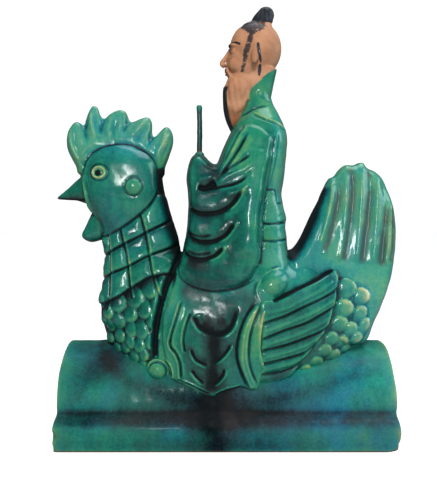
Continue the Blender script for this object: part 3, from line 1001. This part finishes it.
# A furrow parts the two sleeves in front, and a blind hole is left for the rod
cut.press(robe, 4.5 * bell(cut.y / 3.4) * ease((-16 - cut.x) / 8) * ease((cut.x + 46) / 3)
          * ease((cut.z - 148) / 8) * ease((236 - cut.z) / 12))
bpy.ops.mesh.primitive_cylinder_add(vertices=48, radius=socket_radius, depth=0.03, location=(rod_x * mm, 0, 0.2497))
cut_or_join(robe, bpy.context.object, "DIFFERENCE")
thin_out(robe, 190000)
dress(robe, glazed("robe_glaze", depth=0.50, mottle=0.70))
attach(robe, "root")
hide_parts("ridge_figure")

# Head
# The rider's head, beard and topknot, modelled in the same clay and left without glaze, as was usual for faces. The
# hair and the front of the beard were painted black after firing, and most of that paint has rubbed off.


def strand(name, points, radii, flatten=1.0):
    """A roll of clay that follows (x, y, z) points with its own radius at each, in millimetres."""
    curve = bpy.data.curves.new(name, "CURVE")
    curve.dimensions = "3D"
    curve.bevel_depth = 1.0
    curve.bevel_resolution = 8
    curve.resolution_u = 10
    curve.use_fill_caps = True
    line = curve.splines.new("BEZIER")
    line.bezier_points.add(len(points) - 1)
    for point, place, radius in zip(line.bezier_points, points, radii):
        point.co = [c * mm for c in place]
        point.radius = radius * mm
        point.handle_left_type = point.handle_right_type = "AUTO"
    roll = bpy.data.objects.new(name, curve)
    curve_to_mesh(roll)
    p = places(roll)
    middle = sum(q[1] for q in points) / len(points) * mm
    p[:, 1] = middle + (p[:, 1] - middle) * flatten
    move_to(roll, p)
    return roll


skull = ball("skull", (25.5, 0, 333.5), (22.6, 19.6, 24.4), 4)
face = ball("face", (15.5, 0, 323), (15.2, 15.5, 20), 4)
jaw = ball("jaw", (14, 0, 309), (12.5, 12.5, 10.5), 14)
nose = strand("nose", [(2.6, 0, 332), (-0.6, 0, 326.5), (-3.6, 0, 321.4), (-1.0, 0, 319.0)], [1.7, 2.0, 2.1, 1.9])
neck_root = ball("neck_root", (26, 0, 305), (14, 12.6, 17))
nape = strand("nape", [(31, 0, 318), (29.5, 0, 304), (27.2, 0, 288)], [13.6, 12, 11.2])
beard = soft_form("beard", [
    (4, 311), (-0.5, 304), (-3, 296), (-2.2, 283), (1, 270), (5, 262), (8.5, 265), (13, 273), (18, 281), (20.5, 291),
    (21, 302), (17, 312)], lambda x, z: np.interp(z, [262, 280, 300, 312], [3.2, 8.5, 12.5, 13]), 8, 1.2, 0.0009)
topknot = strand("topknot", [(28, 0, 347), (31.5, 0, 357), (34.2, 0, 363.2)], [10.5, 9.4, 7.4], 0.95)
topknot_end = ball("topknot_end", (34.6, 0, 363.4), (7.2, 6.9, 6.6), 20)
head_forms = [skull, face, jaw, nose, neck_root, nape, beard, topknot, topknot_end]
for side in (-1, 1):
    head_forms += [
        ball("brow", (5.0, 7.6 * side, 334.5), (3.6, 6.4, 2.2)),
        ball("cheek", (7.8, 9.6 * side, 318.5), (6, 5.4, 6)),
        ball("nostril", (-0.2, 2.8 * side, 320.3), (1.9, 1.6, 1.6)),
        ball("eyeball", (6.4, 7.8 * side, 330.2), (4.2, 4.6, 3.4)),
        ball("ear", (24.5, 18.9 * side, 325), (3.6, 2.0, 7.4), 10),
        strand("moustache", [(-0.6, 1.5 * side, 317.0), (0.6, 4.6 * side, 315.2), (3.2, 7.4 * side, 310),
                             (4.2, 8.2 * side, 303)], [1.2, 1.5, 1.3, 0.8])]
head_forms += [ball("upper_lip", (0.4, 0, 314.6), (2.0, 4.2, 1.2)), ball("lower_lip", (1.0, 0, 312.2), (2.2, 3.6, 1.3))]
head = lute("clay_head", head_forms, 0.00055, 5)
p, n = places(head), facing(head)
x, y, z = p.T / mm
ay = np.abs(y)


def dimple(cx, cy, cz, rx, ry, rz):
    return bell((x - cx) / rx) * bell((ay - cy) / ry) * bell((z - cz) / rz)


rise = -1.5 * dimple(3, 7.8, 331.2, 6, 4.6, 2.6)                        # the hollow of the eye under the brow
rise -= 0.7 * dimple(2, 7.8, 327.4, 6, 4.4, 0.8)                        # under the lower lid
rise -= 0.5 * bell((z - 330.2 - 0.12 * (4 - np.abs(ay - 7.8))) / 0.42) * ease((9 - x) / 4) \
    * ease((4.4 - np.abs(ay - 7.8)) / 1.0) * ease((z - 325) / 2) * ease((336 - z) / 2)   # the nearly closed lids
rise -= 0.8 * dimple(0, 0, 313.4, 5, 4.2, 0.5)                          # between the lips
rise -= 0.6 * dimple(1, 0, 310, 5, 3.2, 1.2)
rise -= 0.8 * dimple(0, 2.6, 318.4, 3, 0.9, 0.8)                        # nostrils
rise -= 0.9 * dimple(25.5, 20.5, 325, 1.4, 2.6, 4.6)                    # the bowl of the ear
rise -= 0.6 * dimple(31, 17, 316, 6, 6, 8)
# Beard and moustache: shallow combed locks that run down to the point
combed = ease((309 - z) / 5) * ease((24 - x) / 6) * ease((z - 258) / 5)
rise += combed * (0.34 * np.sin(ay * 1.55 + (z - 262) * 0.05 + 0.45 * np.sin(z / 6.5)) +
                  0.30 * np.sin((x + 0.22 * (z - 262)) * 1.25 + 0.5 * np.sin(z / 5)))
# Topknot: bound at its foot, with a few combed lines
rise -= 0.9 * bell((z - 354.2 - 0.10 * (x - 28)) / 1.3) * ease((z - 350) / 3)
rise += 0.16 * np.sin(np.arctan2(y, x - 32) * 13) * ease((z - 355) / 3)
move_to(head, p + n * (rise * mm)[:, None])
move_to(head, evened(head, places(head), 1, 0.4))

# Where the glaze of the collar laps the neck, and where black paint is left
p = places(head)
x, y, z = p.T / mm
ay = np.abs(y)
collar = flow([(60, 322), (42.5, 315.5), (36, 311.5), (31, 307), (26, 302.5), (21.5, 298.5), (19.5, 292), (20, 280),
               (14, 274), (10, 266), (5, 256), (60, 250)], closed=True, steps=3)
topknot_paint = ease((z - 353.6 - 0.10 * (x - 28)) / 1.6) * ease((x - 18) / 4)
hairline = flow([(9, 355), (18, 358), (32, 356), (34, 349), (27, 343.5), (22, 341), (15, 345)], closed=True)
beard_front = np.interp(z, [258, 262, 270, 283, 296, 304, 309], [6.5, 5, 1, -2.2, -3, -0.5, 2])
brow_line = flow([(2.5, 334), (3.5, 336), (7, 337), (11, 335)])
lid_line = flow([(2.0, 330.4), (5.5, 331.0), (9.5, 330.0)])
strokes = [
    topknot_paint,
    0.74 * ease(0.5 + gap_inside(x, z, hairline) / 5.0),
    ease((beard_front + 4.2 - x) / 1.6) * ease((303 - z) / 4),
    0.9 * ease(1.6 - distance(x, z, brow_line) / 0.9) * ease((ay - 2.6) / 1.2),
    0.8 * ease(1.5 - distance(x, z, lid_line) / 0.42) * ease(ay - 3.6) * ease(12 - ay),
    0.75 * bell((z - 315.4) / 1.2) * ease((2 - x) / 2) * ease(ay - 1)]           # the moustache
for row, width, strength in (([(21, 347), (19.5, 337), (17, 329), (15, 319), (13.5, 313)], 2.8, 0.72),
                             ([(26.5, 334), (27.5, 327), (29, 320)], 1.7, 0.80),
                             ([(28.6, 317), (28, 309.5)], 1.8, 0.80), ([(36, 310), (32, 306)], 2.4, 0.70),
                             ([(38, 352), (41, 346), (44, 338)], 3.0, 0.34)):
    line = flow(row)
    t = np.clip((line[0, 1] - z) / (line[0, 1] - line[-1, 1]), 0, 1)
    half_stroke = width * (0.65 + 0.35 * np.sin(3 * t + 0.4))
    strokes.append(strength * ease(1.5 - distance(x, z, line) / half_stroke))
mark(head, "paint", np.clip(np.max(strokes, 0), 0, 1))
mark(head, "glaze_lap", ease(0.5 + gap_inside(x, z, collar) / 1.4))
mark(head, "scorch", ease((286 - z) / 16) * ease((20 - x) / 8))
settle_glaze(head, 0.0, 20)
thin_out(head, 150000)

bare_clay = bpy.data.materials.new("bare_biscuit_clay")
bare_clay.use_nodes = True
tree = bare_clay.node_tree
shader = tree.nodes["Principled BSDF"]
where = add_node(tree, "ShaderNodeTexCoord", (-1500, 0)).outputs["Object"]
blush = noise(tree, (-1300, 200), where, 60, 4, 0.6)
grit = noise(tree, (-1300, 0), where, 700, 3, 0.7)
pits = noise(tree, (-1300, -200), where, 330, 5, 0.7)
clay = ramp(tree, (-1100, 200), blush, [(0.30, (0.38, 0.170, 0.085)), (0.52, (0.56, 0.270, 0.145)),
                                        (0.72, (0.64, 0.34, 0.20))])
clay = blend_colours(tree, (-900, 160), maths(tree, "MULTIPLY", (-1050, 0), grit, 0.35), clay, (0.28, 0.12, 0.055))
scorched = maths(tree, "MULTIPLY", (-1050, -400), marked(tree, (-1300, -400), "scorch"), 0.8)
clay = blend_colours(tree, (-720, 160), scorched, clay, (0.26, 0.075, 0.018))
grimy = maths(tree, "MULTIPLY", (-1050, -560), marked(tree, (-1300, -560), "gather"), 1.1, clamp=True)
clay = blend_colours(tree, (-560, 160), grimy, clay, (0.14, 0.055, 0.03))
black = marked(tree, (-1300, -720), "paint")
rubbed = maths(tree, "ADD", (-1050, -720), black,
               maths(tree, "MULTIPLY", (-1050, -860), maths(tree, "SUBTRACT", (-1200, -860), pits, 0.5), 2.2))
rubbed = ramp(tree, (-850, -720), rubbed, [(0.46, (0, 0, 0)), (0.60, (1, 1, 1))])
kept = maths(tree, "MULTIPLY", (-560, -720), rubbed, maths(tree, "MULTIPLY", (-700, -860), black, 1.3, clamp=True))
painted = blend_colours(tree, (-380, 100), kept, clay, (0.016, 0.018, 0.024))
lap_mask = marked(tree, (-700, -200), "glaze_lap")
glaze_here = add_node(tree, "ShaderNodeGroup", (-700, 460), node_tree=glaze)
set_inputs(glaze_here, Depth=0.46, Mottle=0.5)
tree.links.new(blend_colours(tree, (-200, 200), lap_mask, painted, glaze_here.outputs["Color"]),
               shader.inputs["Base Color"])
dull = maths(tree, "SUBTRACT", (-380, -100), 0.70, maths(tree, "MULTIPLY", (-380, -240), kept, 0.25))
dry = maths(tree, "MULTIPLY", (-200, -100), dull,
            maths(tree, "SUBTRACT", (-380, -380), 1.0, maths(tree, "MULTIPLY", (-540, -380), lap_mask, 0.82)))
tree.links.new(dry, shader.inputs["Roughness"])
tree.links.new(maths(tree, "MULTIPLY", (-200, -240), lap_mask, 0.35), shader.inputs["Coat Weight"])
set_inputs(shader, Coat_Roughness=0.05)
tooth = maths(tree, "ADD", (-380, -520), maths(tree, "MULTIPLY", (-540, -520), grit, 0.5), pits)
tree.links.new(bump(tree, (-200, -420), tooth, 0.5), shader.inputs["Normal"])
dress(head, bare_clay)
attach(head, "root")
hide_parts("ridge_figure")

# Rod
# A thin rolled stick of clay with its own dark glaze, made by itself and set in the hands. Its tip is thinly glazed
# and a ring of bare clay is left at its foot where the two were stuck together.

rod_radius = 0.0024
rod_length = 0.0512
rod_middle_z = 0.2606
hand_z = 0.247                  # where the rod comes out of the hands
tip_z = 0.281

bpy.ops.object.select_all(action="DESELECT")
bpy.ops.mesh.primitive_cylinder_add(vertices=48, radius=rod_radius, depth=rod_length,
                                    location=(rod_x * mm, 0, rod_middle_z))
rod = bpy.context.object
rod.name = "glazed_rod"
bpy.ops.object.transform_apply()
bpy.ops.object.mode_set(mode="EDIT")
bpy.ops.mesh.select_all(action="DESELECT")
bm = bmesh.from_edit_mesh(rod.data)
for end in bm.faces:
    end.select = end.normal.z > 0.9
bmesh.update_edit_mesh(rod.data)
bpy.ops.mesh.bevel(offset=0.0017, segments=6, affect="EDGES")
bpy.ops.object.mode_set(mode="OBJECT")
remesh_clay(rod, 0.00035)
# Above the hands it is a little crooked, and the glaze is thicker round the tip than below it
p = evened(rod, places(rod), 2)
z = p[:, 2]
slack = ease((z - hand_z) / 0.004)
p[:, 0] += slack * (0.00025 * np.sin((z - hand_z) * 90) + 0.00012 * wander(p, 0.004, 3.0))
swell = 1 + 0.06 * ease((z - tip_z) / 0.002) - 0.05 * ease((z - 0.262) / 0.01) * ease((tip_z - z) / 0.004)
swell = np.where(z > hand_z, swell, 1)
p[:, 0] = rod_x * mm + (p[:, 0] - rod_x * mm) * swell
p[:, 1] *= swell
move_to(rod, p)
z = places(rod)[:, 2]
settle_glaze(rod, -0.25 * ease((z - 0.279) / 0.005), 20)
mark(rod, "bare", ease((0.2462 - z) / 0.0012))
mark(rod, "stain", 0.8 * ease((0.252 - z) / 0.005))
thin_out(rod, 30000)
dress(rod, glazed("rod_glaze", depth=0.78, mottle=0.3, clay=(0.30, 0.18, 0.12)))
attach(rod, "root")
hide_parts("held_rod")

# Studio
# A plain white sweep before white paper. A narrow upright strip of light left of the camera makes the crisp lights on
# the glaze. A wide cool window stands behind the camera, and softer lamps light it from above and from the side.

bpy.ops.object.select_all(action="DESELECT")
bpy.ops.mesh.primitive_plane_add(size=8, location=(0, 0, 0))
floor = bpy.context.object
floor.name = "studio_floor"
paper = bpy.data.materials.new("white_paper")
paper.use_nodes = True
sheet = paper.node_tree.nodes["Principled BSDF"]
set_inputs(sheet, Base_Color=(0.34, 0.34, 0.34, 1), Roughness=0.9, Specular_IOR_Level=0.0,
           Emission_Color=(1, 1, 1, 1))
seen = add_node(paper.node_tree, "ShaderNodeLightPath", (-500, 0)).outputs["Is Camera Ray"]
paper.node_tree.links.new(maths(paper.node_tree, "MULTIPLY", (-250, 0), seen, 0.95),
                          sheet.inputs["Emission Strength"])
floor.data.materials.append(paper)

world = bpy.data.worlds.new("studio_room")
bpy.context.scene.world = world
bpy.context.scene.view_settings.view_transform = "Standard"
world.use_nodes = True
room = world.node_tree
shown = add_node(room, "ShaderNodeBackground", (0, 200))
set_inputs(shown, Color=(1, 1, 1, 1), Strength=1.1)
lit = room.nodes["Background"]
set_inputs(lit, Color=(0.93, 0.97, 1.0, 1), Strength=0.10)
either = add_node(room, "ShaderNodeMixShader", (240, 100))
room.links.new(add_node(room, "ShaderNodeLightPath", (0, 420)).outputs["Is Camera Ray"], either.inputs[0])
room.links.new(lit.outputs[0], either.inputs[1])
room.links.new(shown.outputs[0], either.inputs[2])
room.links.new(either.outputs[0], room.nodes["World Output"].inputs["Surface"])


def lamp(name, place, aim, size, power, size_y=None, colour=(1, 1, 1)):
    data = bpy.data.lights.new(name, "AREA")
    data.shape = "RECTANGLE" if size_y else "DISK"
    data.size = size
    if size_y:
        data.size_y = size_y
    data.energy = power
    data.color = colour
    obj = bpy.data.objects.new(name, data)
    bpy.context.collection.objects.link(obj)
    obj.location = place
    away = np.array(place) - np.array(aim)
    obj.rotation_euler = (math.atan2(math.hypot(away[0], away[1]), away[2]), 0, math.atan2(away[0], -away[1]))
    return obj


lamp("key", (-0.16, -1.05, 0.44), (0, 0, 0.18), 0.07, 1.7, 0.22)
lamp("window", (0.30, -1.9, 0.82), (0, 0, 0.15), 1.5, 2, 0.85, (0.70, 0.86, 1.0))
fill = lamp("fill", (0.05, -1.35, 1.25), (0, 0, 0.15), 0.5, 23)
fill.visible_glossy = False                    # it has a cloth before it, and leaves no bright patch on the glaze
lamp("side_window", (1.7, -0.25, 0.9), (0, 0, 0.15), 1.2, 13, 1.2, (0.72, 0.86, 1.0))
lamp("overhead", (0.3, 0.3, 2.0), (0, 0, 0.1), 1.6, 16, 1.2, (0.85, 0.93, 1.0))

looks_down = math.atan(45 / 600)
camera_data = bpy.data.cameras.new("camera")
camera_data.sensor_width = 36
camera_data.lens = 43.2
camera = bpy.data.objects.new("camera", camera_data)
bpy.context.collection.objects.link(camera)
camera.location = (-0.0067, -0.535, 0.1987)
camera.rotation_euler = (math.pi / 2 - looks_down, 0, 0)
bpy.context.scene.camera = camera
